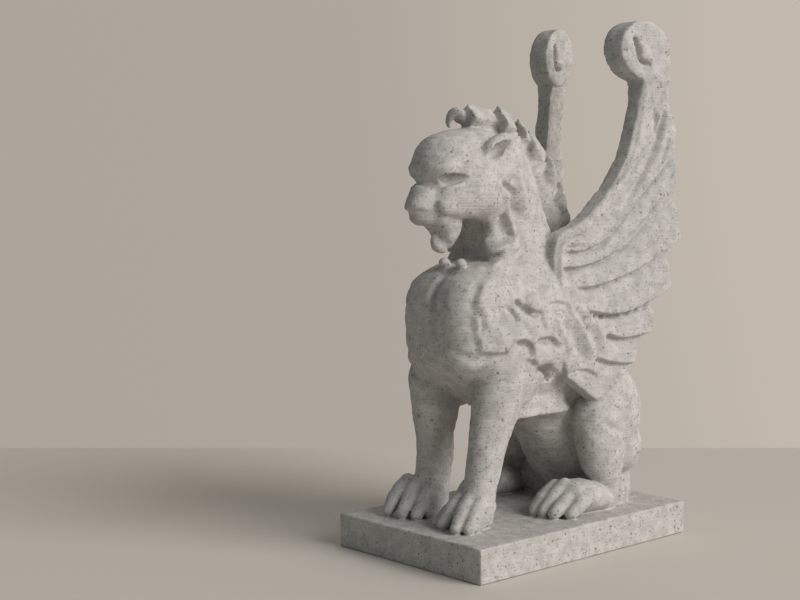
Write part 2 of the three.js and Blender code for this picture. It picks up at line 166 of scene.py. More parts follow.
def levels(rows, squareness, middle=0.0):
    """A body through level sections of [z, half width, front, back], with its middle at an x."""
    rows = np.array(sorted(rows), float)
    slopes = [np.gradient(rows[:, k], rows[:, 0]) for k in (1, 2, 3)]

    def read(k, z):
        i = np.clip(np.searchsorted(rows[:, 0], z) - 1, 0, len(rows) - 2)
        span = rows[i + 1, 0] - rows[i, 0]
        t = np.clip((z - rows[i, 0]) / span, 0, 1)
        a, b = rows[i, k], rows[i + 1, k]
        p, q = slopes[k - 1][i] * span, slopes[k - 1][i + 1] * span
        return a + t * p + t**2 * (3 * (b - a) - 2 * p - q) + t**3 * (2 * (a - b) + p + q)

    def shape(x, y, z):
        half, front, back = read(1, z), read(2, z), read(3, z)
        deep = (back - front) / 2
        dx = np.abs(x - middle) / half
        dy = np.abs(y - (front + back) / 2) / deep
        n = squareness
        size = (dx**n + dy**n + 1e-9) ** (1 / n)
        slope = size ** (1 - n) * np.sqrt((dx ** (n - 1) / half) ** 2 + (dy ** (n - 1) / deep) ** 2)
        side = (size - 1) / np.maximum(slope, 0.02)
        return np.maximum(side, np.maximum(z - rows[-1, 0], rows[0, 0] - z))

    half = rows[:, 1].max()
    low = (middle - half, rows[:, 2].min(), rows[0, 0])
    return shape, low, (middle + half, rows[:, 3].max(), rows[-1, 0])


def block(low, high, edge):
    """A box with rounded edges."""
    low, high = np.array(low, float), np.array(high, float)
    middle, half = (low + high) / 2, (high - low) / 2 - edge

    def shape(x, y, z):
        dx, dy, dz = (np.abs(v - m) - h for v, m, h in zip((x, y, z), middle, half))
        outside = np.sqrt(np.maximum(dx, 0) ** 2 + np.maximum(dy, 0) ** 2 + np.maximum(dz, 0) ** 2)
        return outside + np.minimum(np.maximum(dx, np.maximum(dy, dz)), 0) - edge

    return shape, low, high


def facets(corners, edge):
    """The convex solid around some corners, with flat faces and rounded edges."""
    corners = np.array(corners, float)
    planes = {}
    for a, b, c in itertools.combinations(corners, 3):
        normal = np.cross(b - a, c - a)
        normal /= np.linalg.norm(normal)
        heights = (corners - a) @ normal
        if heights.max() > 1e-6 and heights.min() < -1e-6:
            continue
        if heights.max() > 1e-6:
            normal = -normal
        planes[tuple(np.round(normal, 4))] = (normal, normal @ a)

    def shape(x, y, z):
        found = None
        for normal, offset in planes.values():
            d = normal[0] * x + normal[1] * y + normal[2] * z - offset
            found = d if found is None else -melt(-found, -d, edge)
        return found

    return shape, corners.min(0), corners.max(0)


def on_side(stops, side):
    """A line drawn for the left side, moved to the right if side is -1."""
    return [[side * x, *rest] for x, *rest in stops]


def both_sides(stops):
    """A line on the left side and its mirror image on the right."""
    return [on_side(stops, side) for side in (1, -1)]


def add_eggs(clay, rows):
    """Adds eggs from rows of place, radii and blend. One off the middle has a mirror image."""
    for (x, y, z), radii, width in rows:
        for side in (1, -1) if x else (1,):
            clay.add(egg((side * x, y, z), radii), width)


# Sheets: reliefs drawn over y and z that stand out of the sides, or over x and z that stand out of
# the front.
ACROSS_SIDE, ACROSS_FRONT = 1, 0
# the share of its length over which a step fades in, and half the width of its edge
STEP_START, STEP_EDGE = 0.12, 0.35


class Sheet:
    """Heights over the clay's y and z, or x and z."""

    def __init__(self, clay, across=ACROSS_SIDE):
        self.across, self.up = clay.axes[across][:, None], clay.axes[2][None, :]
        self.height = np.zeros((len(clay.axes[across]), len(clay.axes[2])))

    def from_line(self, points, smooth=5):
        """Distance to a line, which side of it each place is on, and the share along it."""
        line = smooth_line(points, smooth)
        best = np.full(self.height.shape, 1e9)
        side = np.zeros(self.height.shape)
        share = np.zeros(self.height.shape)
        for i, (a, b) in enumerate(zip(line, line[1:])):
            u = b - a
            da, du = self.across - a[0], self.up - a[1]
            t = np.clip((da * u[0] + du * u[1]) / (u @ u), 0, 1)
            d = np.hypot(da - t * u[0], du - t * u[1])
            nearer = d < best
            best = np.where(nearer, d, best)
            side = np.where(nearer, np.sign(u[0] * du - u[1] * da), side)
            share = np.where(nearer, (i + t) / (len(line) - 1), share)
        return best, side, share

    def stroke(self, points, width, height, fade=0.15):
        """A soft ridge, or with a height below 0 a groove, that fades at both ends."""
        d, _, share = self.from_line(points)
        ends = np.clip(np.minimum(share, 1 - share) / fade, 0, 1) ** 0.5
        self.height += height * ends * (0.5 + 0.5 * np.cos(np.pi * np.clip(d / width, 0, 1)))

    def step(self, points, width, depth, fade=0.0):
        """A step along a line that fades in at its start, and over a share at its end. The side to
        the left of its direction stays, and the other drops by depth and rises again over width."""
        d, side, share = self.from_line(points)
        ends = np.clip(share / STEP_START, 0, 1) ** 0.7
        if fade:
            ends = np.clip((1 - share) / fade, 0, 1) ** 0.5 * ends
        s = -side * d
        drop = np.clip(1 - s / width, 0, 1) ** 1.6 * np.clip((s + STEP_EDGE) / (2 * STEP_EDGE), 0, 1)
        self.height -= depth * ends * drop

    def region(self, points):
        """Distance to an outline, below 0 inside."""
        line = np.array([*points, points[0]])
        best = np.full(self.height.shape, 1e9)
        inside = np.zeros(self.height.shape, bool)
        for a, b in zip(line, line[1:]):
            u = b - a
            da, du = self.across - a[0], self.up - a[1]
            t = np.clip((da * u[0] + du * u[1]) / max(u @ u, 1e-9), 0, 1)
            best = np.minimum(best, np.hypot(da - t * u[0], du - t * u[1]))
            if a[1] != b[1]:
                crossed = (a[1] > self.up) != (b[1] > self.up)
                at = a[0] + (self.up - a[1]) * u[0] / u[1]
                inside ^= crossed & (self.across < at)
        return np.where(inside, -best, best)

    def plate(self, points, height, edge):
        """Raises what lies inside an outline, with a slope of twice edge along it."""
        self.height += height * np.clip(0.5 - self.region(points) / (2 * edge), 0, 1)

    def dot(self, place, radius, height):
        """A round button."""
        d = np.hypot(self.across - place[0], self.up - place[1]) / radius
        self.height += height * np.sqrt(np.clip(1 - d**2, 0, 1))


def emboss(clay, sheet, low, high, start, full):
    """Raises the clay's sides by a sheet, between two corners, fading in as |x| goes from start to
    full."""
    for side in (1, -1):
        a = (low[0] if side > 0 else -high[0], *low[1:])
        b = (high[0] if side > 0 else -low[0], *high[1:])
        cut, (x, y, z) = clay.part(a, b, 0)
        ramp = np.clip((np.abs(x) - start) / (full - start), 0, 1)
        clay.field[cut] -= (sheet.height[None, cut[1], cut[2]] * ramp).astype(np.float32)


def emboss_front(clay, sheet, low, high, start, full):
    """Raises the clay's front by a sheet, between two corners, fading in as y goes from start to
    full."""
    cut, (x, y, z) = clay.part(low, high, 0)
    ramp = np.clip((y - start) / (full - start), 0, 1)
    clay.field[cut] -= (sheet.height[cut[0], None, cut[2]] * ramp).astype(np.float32)


# The trunk, the neck and the chest
body = Clay([np.arange(a, b + STEP, STEP) for a, b in zip(LOW, HIGH)])
TRUNK = [
    [84.5, 5.5, -14, -2],
    [81, 7, -17, -1],
    [77, 7.7, -17, 1],
    [73, 8, -17.2, 3.4],
    [69, 8, -17.6, 5],
    [65, 8, -14.6, 6.8],
    [61, 8.2, -14.2, 9.4],
    [58.6, 8.7, -14.6, 12],
    [57.2, 9.2, -16.4, 14],
    [56.4, 9.6, -20.6, 15],
    [54, 10.4, -21.4, 17],
    [50, 11, -22, 20],
    [43, 11.4, -23, 23],
    [36, 11.4, -22.5, 26],
    [29, 10.8, -20, 28.5],
    [25, 10.2, -14, 30.3],
]
BELLY = [
    [27, 9.6, -1.6, 29.5],
    [23, 9.7, -1.7, 31],
    [19, 9.6, 0.8, 31.8],
    [13, 9.6, 5.2, 32.4],
    [8, 9.8, 9.8, 32.4],
    [4, 9.8, 14.6, 31.5],
    [-1, 9.2, 15, 29],
]
CHEST = [
    [56.2, 7.4, -20.6, -2],
    [55, 9.0, -23.0, 0],
    [53.4, 10.4, -25.1, 1],
    [51.4, 11.2, -26.5, 2],
    [47, 11.7, -27.4, 3],
    [41, 11.7, -27.5, 3],
    [36.5, 11.4, -27.2, 3],
    [34.8, 10.8, -26.8, 2],
    [33, 9.0, -25.4, 1],
    [31, 6.2, -23.2, 0],
    [29.3, 4.2, -21.2, 0],
    [27.4, 2.2, -18, -2],
]
body.add(levels(TRUNK, 2.15))
body.add(levels(BELLY, 2.15), 0.8)
body.add(levels(CHEST, 4), 0.8)
# the shoulders, the upper arms, the ribs and the rump
TRUNK_EGGS = [
    ((8.4, -11.6, 37.5), (6, 9.6, 14), 2),
    ((8.2, -1, 42), (5.8, 10, 13), 2.5),
    ((6.8, 5, 30), (4.8, 9.8, 8.6), 1.5),
    ((0, 20.8, 15), (11.8, 13.2, 15.5), 2),
]
add_eggs(body, TRUNK_EGGS)

# The crest: a slab behind the neck, as stops of (y, z, radius), that carries tufts like thick
# shingles, each with a diamond front
SLAB = [(-14, 84, 2.6), (-6, 83, 3.4), (1, 80, 4), (6.5, 75, 4), (9.8, 69, 4), (12.4, 63, 4)]
SLAB_FLATNESS = 0.54
body.add(bar([(0, y, z, r) for y, z, r in SLAB], SLAB_FLATNESS), 0.8)
TUFTS = [
    # (y, z) of the front's top and foot and of the back's top and foot, the half width in front and
    # at the back, and how far the front leans to the left side
    ((-16.2, 91.5), (-16.6, 85.0), (-8.4, 90.6), (-7.6, 85.4), 3.3, 1.5, 0.0),
    ((-8.2, 91.5), (-7.6, 83.4), (-1.8, 89.4), (-2.2, 82.8), 3.6, 1.7, 1.3),
    ((-0.4, 88.9), (-1.8, 82.0), (3.2, 86.4), (0.6, 80.6), 3.4, 1.9, 0.6),
    ((3.8, 86.4), (-1.2, 79.0), (9.8, 81.2), (4.0, 76.0), 4.6, 2.0, 0.0),
    ((10.8, 80.8), (4.2, 75.0), (14.0, 74.9), (7.6, 70.6), 4.6, 2.0, 0.0),
    ((14.8, 74.6), (7.8, 69.8), (17.2, 68.6), (10.2, 65.0), 4.4, 1.9, 0.0),
    ((17.3, 68.4), (10.6, 64.4), (18.2, 61.8), (12.0, 59.0), 3.8, 1.9, 0.0),
]
for front_top, front_foot, back_top, back_foot, wide, narrow, lean in TUFTS:
    corners = []
    for x, top, foot, half in ((lean, front_top, front_foot, wide), (0, back_top, back_foot, narrow)):
        waist = [(t + f) / 2 for t, f in zip(top, foot)]
        corners += [(x, *top), (x + half, *waist), (x, *foot), (x - half, *waist)]
    body.add(facets(corners, 0.25), 0.3)
# the crease between the crest and the neck
CREST_CREASE = [
    (2.9, -1.2, 82.6, 0.4),
    (2.9, 1.6, 79.6, 0.8),
    (2.8, 3.9, 75.6, 1.0),
    (2.7, 6.1, 70, 1.1),
    (2.7, 8.2, 65.2, 1.0),
]
for stops in both_sides(CREST_CREASE):
    body.carve(bar(stops), 0.3)
# the forelock: a flat hook that turns down over the forehead
FORELOCK = [
    (-1.7, -16.4, 88.2, 1.1),
    (-1.8, -17.5, 89.5, 1.15),
    (-2.3, -18.2, 89.3, 1.0),
    (-3.0, -18.6, 88.3, 0.7),
    (-3.2, -18.8, 87.2, 0.4),
    (-3.0, -18.8, 86.5, 0.3),
]
body.add(bar(FORELOCK, 1.7), 0.2)

# The head
head = body.block((-11, -35.2, 55), (11, -1, 89))
SKULL_EGGS = [
    # the skull, the forehead and the brow
    ((0, -15.6, 76.5), (8.3, 12.4, 9.8), 0),
    ((0, -21.8, 79.3), (7.0, 8.2, 5.8), 1.6),
    ((0, -25.7, 77.0), (6.6, 4.9, 3.5), 1.2),
]
add_eggs(head, SKULL_EGGS)
NOSE = [(0, -26.8, 76, 2.5), (0, -27.9, 74.3, 2.8), (0, -29.1, 71.8, 2.9), (0, -30.3, 69.5, 2.8)]
head.add(bar(NOSE, 1.12), 0.5)
MUZZLE_EGGS = [
    # the nose's tip, the upper lip, the muzzle and the palate
    ((0, -32.0, 69.3), (2.3, 1.3, 1.0), 0.5),
    ((0, -29.4, 66.9), (2.8, 2.6, 1.7), 0.6),
    ((0, -26, 68.8), (4.3, 6, 3.6), 1.4),
    ((0, -24.6, 71), (5.2, 6.2, 4.6), 1.4),
    ((0, -18, 70), (6.4, 9, 3.8), 1.8),
    # the muzzle's sides, the whisker pads, the cheeks and the sides of the throat
    ((4.4, -22, 71.6), (2.6, 6, 5), 1.6),
    ((4.5, -26.9, 69.5), (2.0, 2.5, 2.1), 0.6),
    ((5, -15, 71.8), (3.9, 7.8, 5.4), 1.8),
    ((5.6, -11.6, 62.5), (2.8, 4.2, 8), 2.2),
]
add_eggs(head, MUZZLE_EGGS)
CHIN = [
    [68, 4.4, -29.4, -19.6],
    [66.2, 4.3, -28.6, -20],
    [65.2, 4.1, -27.3, -20],
    [63.8, 3.5, -25.8, -20.2],
    [62.2, 2.8, -24.7, -20.8],
    [61, 1.9, -23.6, -21.4],
    [60.1, 1, -23, -21.8],
]
head.add(levels(CHIN, 3), 0.5)
UNDER_BROW = [
    (0, -30.8, 74.2, 0.55),
    (2.2, -30.1, 74.0, 0.9),
    (3.8, -28.7, 73.9, 0.9),
    (5.0, -27.0, 74.0, 0.6),
]
EYE = [
    (3.9, -29.4, 74.2, 0.4),
    (4.5, -28.0, 74.6, 1.0),
    (4.9, -26.6, 74.9, 1.5),
    (5.7, -25.1, 75.1, 1.2),
    (6.9, -22.9, 75.4, 0.4),
]
LOWER_LID = [(5.2, -27.4, 73.3, 0.2), (5.9, -26.0, 73.3, 0.45), (6.8, -24.0, 73.7, 0.3)]
MOUTH = [(0, -33.6, 67.4, 0.5), (3.4, -31.2, 67.0, 0.5), (5.2, -28.6, 66.6, 0.5), (6.6, -25, 66.8, 0.5)]
NOSTRIL = [(1.0, -33.6, 68.2, 0.5), (2.4, -32.0, 67.9, 0.6), (3.2, -30.8, 68.1, 0.4)]
for line, width in ((UNDER_BROW, 0.15), (EYE, 0.15), (MOUTH, 0.5), (NOSTRIL, 0.2)):
    for stops in both_sides(line):
        head.carve(bar(stops), width)
for stops in both_sides(LOWER_LID):
    head.add(bar(stops), 0.3)
EAR = [(6.6, -17.8, 79.8, 1.4), (7.8, -15.6, 81.6, 2.4), (8.4, -12.8, 83.3, 1.8), (8.6, -9.8, 84.9, 0.5)]
EAR_HOLLOW = [
    (7.9, -17.0, 80.1, 1.0),
    (8.5, -15.9, 81.0, 1.45),
    (9.3, -14.4, 82.1, 1.0),
    (10.0, -13.0, 83.0, 0.4),
]
for stops in both_sides(EAR):
    head.add(bar(stops, 0.75), 0.6)
for stops in both_sides(EAR_HOLLOW):
    head.carve(bar(stops), 0.1)
# the curl at the beard's end
BEARD_CURL = [
    (-0.2, -25.6, 63.0, 0.7),
    (-0.3, -25.4, 61.6, 1.1),
    (-0.2, -24.7, 60.5, 1.2),
    (0.1, -23.6, 60.1, 1.0),
]
head.add(egg((0.2, -23.9, 61.4), (1.3, 1.3, 1.4)), 0.3)
head.add(bar(BEARD_CURL), 0.2)
body.join(head, 0.5)

# Carving on the cheeks and the neck: a hooked hollow behind the cheek with a ridge on both sides of
# it, a hollow under the jaw, and a roll below it with a slit
JAW_HOLLOW = [(-12.8, 67), (-9.6, 62.8), (-11.4, 61.9), (-15.6, 60.6), (-15.2, 62.2), (-13.8, 64)]
SLIT = [(-18, 57.8), (-15.8, 58.2), (-13.4, 59.2), (-13.6, 58.4), (-15.8, 57.2)]
cheek = Sheet(body)
cheek.stroke([(-14.2, 74.3), (-11.4, 73.1), (-8.8, 71.9)], 1.1, -1.5, 0.3)
cheek.stroke([(-9.4, 72.2), (-10.2, 70.4), (-9.2, 68.6), (-7.8, 66.8)], 2.0, -1.3, 0.25)
cheek.stroke([(-15.4, 76.2), (-10.4, 76.6), (-7.2, 74), (-6.4, 70.4), (-6.0, 66.6)], 1.8, 0.6)
cheek.stroke([(-14, 72.4), (-12, 70.6), (-11.2, 68), (-9, 65.8)], 1.6, 0.5)
cheek.plate(JAW_HOLLOW, -3.6, 0.8)
cheek.stroke([(-18.6, 59.4), (-14, 60.2), (-9.4, 61.2), (-6, 63.4), (-4.4, 67.2)], 1.9, 0.8, 0.6)
cheek.plate(SLIT, -1.6, 0.3)
emboss(body, cheek, (3, -22, 56), (12, 0, 80), 4.0, 6.5)

# Carving on the body's sides: a cape that ends in leaf folds
coat = Sheet(body)
CAPE = [
    (-22.4, 52.8),
    (-24.0, 49),
    (-24.4, 44),
    (-23.2, 38.4),
    (-19, 38),
    (-17, 38.2),
    (-16.2, 39.8),
    (-14.6, 40.6),
    (-13, 40.2),
    (-11.6, 38),
    (-11.8, 36.4),
    (-8.6, 34.6),
    (-3.6, 34.2),
    (0.4, 31.8),
    (2.8, 28.6),
    (4, 32),
    (9, 38),
    (9, 50),
    (3, 62),
    (-6, 62.8),
    (-14, 58),
]
coat.plate(CAPE, 0.95, 0.4)
# soft leaf folds: a line, its half width and its depth
FOLDS = [
    ([(-24.2, 47.4), (-23.2, 45.6), (-23.0, 43.6), (-24, 42)], 1.2, -0.7),
    ([(-19.6, 47.4), (-16.6, 47.8), (-15.0, 49.1)], 0.9, -0.5),
    ([(-17, 47.4), (-15.4, 46.2), (-14.8, 44.7)], 1.0, -0.9),
    ([(-14.4, 49.2), (-12.8, 47.6), (-9.6, 45.9), (-6.6, 46.2)], 1.1, -1.5),
    ([(-7.4, 45.4), (-7.2, 43.6), (-6.2, 41.8)], 1.0, -0.6),
    ([(-9.6, 39.8), (-6, 40.1), (-4, 39.8), (-1.6, 38.0)], 1.0, -1.5),
    ([(-14.6, 40.3), (-12.2, 39.6), (-11.0, 38.2), (-11.6, 36.8)], 1.1, -2.0),
    ([(-22.8, 37.8), (-19.8, 37.6), (-16.6, 38.1)], 0.6, -0.25),
    ([(-10.8, 36.4), (-9.6, 34.6)], 0.9, -1.0),
    ([(-8, 33.4), (-6, 34.0), (-3.4, 32.6), (-2.2, 30.6)], 1.2, -1.8),
    ([(-5, 47.2), (-2, 47.8), (1, 46.8), (2.6, 44.6)], 1.0, -0.9),
    ([(-3.6, 45.2), (-1.6, 46.2), (0.6, 45.6)], 0.7, -0.6),
    ([(-1, 44.2), (2.2, 40.8), (4.4, 38), (6, 34.6)], 2.2, -0.6),
    ([(-3.2, 44.6), (-0.4, 40.4), (1.6, 36.8), (1.4, 33.4)], 1.2, 0.5),
    ([(-20, 56), (-17.6, 54), (-14, 53.2), (-9, 54)], 1.6, 0.4),
]
for line, width, depth in FOLDS:
    coat.stroke(line, width, depth)
coat.dot((-9.4, 48.4), 2.2, 1.1)
coat.plate([(-12.6, 44.8), (-8.2, 43.6), (-7.2, 40.8), (-10.4, 41.2)], 0.5, 0.8)
coat.plate([(-8.6, 38.6), (-5, 39), (-3.2, 35), (-8.4, 35.4)], 0.5, 0.8)
emboss(body, coat, (3, -30, 24), (17, 8, 66), 3.5, 7.5)

# The flanks' lower edges: a strip on both sides, shorter on the right, with a ragged underside
STRIP_INSIDE, STRIP_OUTSIDE = 7.0, 11.2
STRIP_BOTTOM, STRIP_TOP = 22.8, 27.0
LEFT_STRIP_START, RIGHT_STRIP_START, STRIP_END = -12.0, -5, 9.0
for near, far, start in (
    (STRIP_INSIDE, STRIP_OUTSIDE, LEFT_STRIP_START),
    (-STRIP_OUTSIDE, -STRIP_INSIDE, RIGHT_STRIP_START),
):
    body.add(block((near, start, STRIP_BOTTOM), (far, STRIP_END, STRIP_TOP), 0.4), 0.3)
rag = np.random.default_rng(5)
for y in np.arange(LEFT_STRIP_START + 1.5, STRIP_END, 0.9):
    deep, high = rag.uniform(0.3, 1.0), rag.uniform(0.25, 0.75)
    for side in (1, -1):
        body.carve(egg((side * (STRIP_OUTSIDE + 0.3), y, STRIP_BOTTOM), (deep, 0.7, high)), 0.2)

# Hollows on both sides: between the shoulder and the flank, under the wing's foot, and in the armpit
SHOULDER_HOLLOW = [
    (12.8, 1.6, 31.0, 0.8),
    (12.4, 0.2, 28.8, 1.7),
    (12.1, -2.6, 26.2, 1.8),
    (11.8, -6.0, 24.0, 1.1),
]
WING_FOOT_HOLLOW = [
    (12.6, 2.6, 28.0, 0.8),
    (12.6, 5.4, 26.2, 2.2),
    (12.2, 8.2, 24.6, 2.8),
    (11.6, 10.4, 23.0, 1.6),
]
ARMPIT = [(8.0, -25.0, 33.6, 0.4), (9.6, -24.0, 33.0, 0.8), (10.9, -22.4, 33.4, 0.8), (11.8, -20.6, 34, 0.4)]
for line in (SHOULDER_HOLLOW, WING_FOOT_HOLLOW, ARMPIT):
    for stops in both_sides(line):
        body.carve(bar(stops), 0.8)

# Carving on the breast: a groove down its middle, a soft swelling, a crease and a lower edge
breast = Sheet(body, ACROSS_FRONT)
breast.stroke([(1.0, 58.5), (0.9, 54.6), (0.5, 51), (0.7, 47), (0.8, 42)], 1.7, -1.5, 0.6)
for side in (1, -1):
    breast.stroke([(5.4 * side, 55), (6.4 * side, 48), (5.6 * side, 38)], 3.6, 0.35, 0.4)
    breast.stroke([(9.8 * side, 53.6), (10.0 * side, 50.6), (9.6 * side, 47.6)], 1.1, -0.6, 0.3)
    breast.stroke([(6.4 * side, 39), (9.4 * side, 37.4), (11.8 * side, 36.8)], 1.4, -0.4, 0.4)
emboss_front(body, breast, (-12, -31, 26), (12, -14, 59), -14, -21)

# the two beads on the collar and the groove in front of them
for x, y in ((-1.4, -21.6), (3.4, -21.3)):
    body.add(egg((x, y, 56.9), (1.25, 1.4, 1.15)), 0.3)
COLLAR_GROOVE = [
    (-3, -22.6, 55.5, 0.3),
    (-0.6, -23.4, 55.2, 0.75),
    (1.4, -23.6, 55, 0.9),
    (4.6, -22.8, 55.3, 0.4),
]
body.carve(bar(COLLAR_GROOVE), 0.4)

# Forelegs, as level sections to the left and right of the middle
FORELEG_ASIDE = 8.6
LEFT_FORELEG = [
    [40, 5.0, -15.6, -4.2],
    [33, 5.4, -19.6, -6.8],
    [27, 5.0, -21.4, -8.8],
    [23, 4.5, -22.0, -10.8],
    [20, 4.1, -22.5, -12.2],
    [16, 3.8, -23.0, -14.0],
    [13, 3.6, -23.5, -14.9],
    [9.5, 3.4, -24.0, -16.2],
    [6, 3.3, -24.2, -17.0],
    [1, 3.2, -24.2, -17.8],
]
RIGHT_FORELEG = [
    [40, 5.0, -17.0, -5.2],
    [33, 5.4, -23.8, -9.6],
    [27, 4.7, -23.6, -11.0],
    [21.5, 4.2, -23.0, -11.6],
    [18, 3.7, -22.2, -12.6],
    [12.5, 3.7, -22.0, -12.8],
    [9, 3.6, -22.4, -13.6],
    [4, 3.7, -23.0, -14.4],
    [1, 3.7, -23.0, -14.6],
]
for rows, middle in ((LEFT_FORELEG, FORELEG_ASIDE), (RIGHT_FORELEG, -FORELEG_ASIDE)):
    body.add(levels(rows, 2, middle), 0.6)
# the crease between the chest and the forelegs
UNDER_CHEST = [
    (-12.2, -21.6, 33.4, 0.6),
    (-9.6, -24.1, 32.8, 1.0),
    (-6.2, -24.6, 31.2, 1.2),
    (-3.4, -24.0, 29.6, 1.2),
    (-0.8, -22.8, 28.0, 1.0),
    (1.4, -21.6, 26.6, 0.6),
]
body.carve(bar(UNDER_CHEST), 0.4)

# Paws: each toe's knuckle, middle joint and tip, from the inner toe to the outer
LEFT_FORETOES = [
    [(4.2, -22.2, 4.6), (3.2, -24.4, 3.0), (1.6, -26.2, 1.2)],
    [(6.3, -21.8, 7.4), (5.4, -25.3, 4.3), (4.6, -27.6, 1.2)],
    [(8.4, -22.0, 7.6), (8.9, -25.3, 4.6), (9.6, -28.6, 1.3)],
    [(10.3, -21.4, 6.6), (11.0, -24.2, 4.0), (11.8, -27.0, 1.3)],
    [(11.0, -20.6, 5.2), (11.6, -22.6, 3.0), (11.4, -24.6, 1.2)],
]
RIGHT_FORETOES = [
    [(-5.6, -19.6, 5.2), (-5.0, -21.2, 3.2), (-4.6, -22.6, 1.2)],
    [(-7.2, -20.4, 6.2), (-6.3, -22.9, 3.8), (-5.4, -26.0, 1.2)],
    [(-10.0, -21.4, 7.0), (-9.3, -24.4, 4.2), (-8.6, -27.4, 1.3)],
    [(-12.5, -22.2, 7.0), (-12.7, -25.4, 4.4), (-12.6, -27.9, 1.3)],
]
HIND_TOES = [
    [(9.6, 2.8, 5.6), (9.4, -1.2, 3.4), (9.0, -3.4, 1.2)],
    [(11.9, 3.2, 6.1), (11.6, -0.4, 3.7), (11.3, -3.2, 1.2)],
    [(14.2, 4.2, 5.2), (14.4, 0.4, 3.2), (14.4, -3.0, 1.3)],
    [(16.4, 5.8, 4.4), (16.8, 2.6, 2.8), (16.9, -0.2, 1.2)],
]
TOE_RADII = (2.0, 1.85, 1.35)


def toes(rows, side=1):
    """Adds a paw's toes, on the right side if side is -1 and the rows are for the left."""
    for row in rows:
        stops = [(*place, radius) for place, radius in zip(row, TOE_RADII)]
        body.add(bar(on_side(stops, side), smooth=3), 0.3)


for x, y in ((7.8, -21.4), (-9.4, -20.4)):
    body.add(egg((x, y, 2.8), (3.8, 4.2, 4.4)), 0.6)
toes(LEFT_FORETOES)
toes(RIGHT_FORETOES)

# Hind legs and tail: the thigh, the haunch and the rump's side as eggs, then the lower leg and the
# foot
HAUNCH_EGGS = [
    ((12.3, 18.5, 21.5), (5.3, 9.2, 11), 1.2),
    ((11.8, 21, 13.4), (5.6, 7.2, 6.8), 0.8),
    ((9.2, 20.6, 4), (5.6, 6.6, 9), 0.8),
]
SHANK = [
    (12.4, 14.2, 20.5, 7.2),
    (13.2, 14.2, 14, 6.4),
    (13.6, 14.5, 11, 5.5),
    (14.0, 14.8, 9, 4.5),
    (14.3, 15.0, 7, 3.5),
    (14.6, 15.4, 4.0, 2.7),
    (14.6, 15.2, 2.0, 2.5),
]
FOOT = [(13.8, 13.6, 2.4, 2.8), (13.5, 10.6, 3.0, 3.4), (13.2, 7.6, 3.7, 3.8), (13.0, 4.6, 3.9, 3.8)]
SHANK_FLATNESS, FOOT_FLATNESS = 0.75, 1.25
for side in (1, -1):
    for (x, y, z), radii, width in HAUNCH_EGGS:
        body.add(egg((side * x, y, z), radii), width)
    body.add(bar(on_side(SHANK, side), SHANK_FLATNESS), 0.3)
    body.add(bar(on_side(FOOT, side), FOOT_FLATNESS), 0.5)
    toes(HIND_TOES, side)
KNEE_CREASE = [
    (17.3, 10.2, 21.2, 0.4),
    (17.9, 12.4, 19.2, 0.8),
    (18.2, 15.4, 17.9, 1.0),
    (18.2, 18.2, 15.4, 0.8),
]
HEEL_CREASE = [
    (18.2, 18.2, 15.4, 0.5),
    (18.0, 18.4, 12.6, 0.9),
    (17.8, 17.8, 9.6, 1.0),
    (17.6, 17.4, 6.0, 0.6),
]
for line in (KNEE_CREASE, HEEL_CREASE):
    for stops in both_sides(line):
        body.carve(bar(stops), 0.7)
# the tail comes round the right side and ends in a tuft
TAIL = [
    (0, 31, 9, 2.6),
    (-5, 32, 4, 2.2),
    (-12, 31, 2.1, 1.9),
    (-17.6, 27, 2, 1.8),
    (-19.6, 20, 2, 1.8),
    (-19.4, 14.5, 2.5, 2.5),
    (-18.6, 10, 1.8, 1.2),
]
body.add(bar(TAIL), 0.8)

# Wings: drawn over y and z, and stood on planes that lean outwards towards the back. An edge of the
# blade is a list of (y, z), from the top down in front and from the foot up behind.
FRONT_EDGE = [
    (24.6, 97.5),
    (23.9, 92.5),
    (22.2, 87),
    (20, 81),
    (16, 74.6),
    (11.1, 69.4),
    (6.4, 65.4),
    (2.6, 63.8),
    (0.2, 62),
    (-1, 58.6),
    (-1.2, 54),
    (-1, 49),
    (-1, 42),
    (0, 36),
    (1, 31.2),
]
TRAILING_EDGE = [
    (8.4, 25.4),
    (13, 28.6),
    (17.6, 32.6),
    (19.4, 34.6),
    (20, 38.4),
    (23.4, 39.4),
    (24.8, 42),
    (25.2, 46.6),
    (30.4, 50.8),
    (29.8, 57),
    (33.6, 61.8),
    (33.4, 66),
    (32, 71.6),
    (34, 77),
    (33.2, 82),
    (34, 86.4),
    (32.6, 91),
    (32, 94),
    (32.4, 104),
]
FEATHERS = [
    # line between two feathers, depth, width below it
    ([(10.5, 67.6), (16.4, 73.4), (22, 79), (26.6, 84), (28.6, 91)], 0.5, 3.0),
    ([(1.2, 59.2), (6.5, 59), (13.5, 62), (19.5, 68), (25.5, 73.6), (34.6, 82.8)], 0.9, 4.0),
    ([(0.4, 55.4), (6.4, 55.6), (12.2, 57.2), (18.6, 60.6), (26.7, 67.4), (33.4, 73.2)], 1.1, 4.0),
    ([(4.3, 50.8), (9.9, 51.2), (16.1, 52.8), (22, 55), (27.6, 57.9), (35, 62.2)], 1.2, 4.5),
    ([(5.8, 46), (11.6, 44.8), (16.2, 44.9), (21, 46.1), (27, 48.4), (31, 50.8)], 1.5, 4.0),
    ([(11.4, 40.4), (15, 39.3), (19, 39.3), (25, 40.2)], 1.3, 3.5),
    ([(8.4, 35.2), (12.7, 33.8), (20.5, 33)], 1.0, 3.0),
]
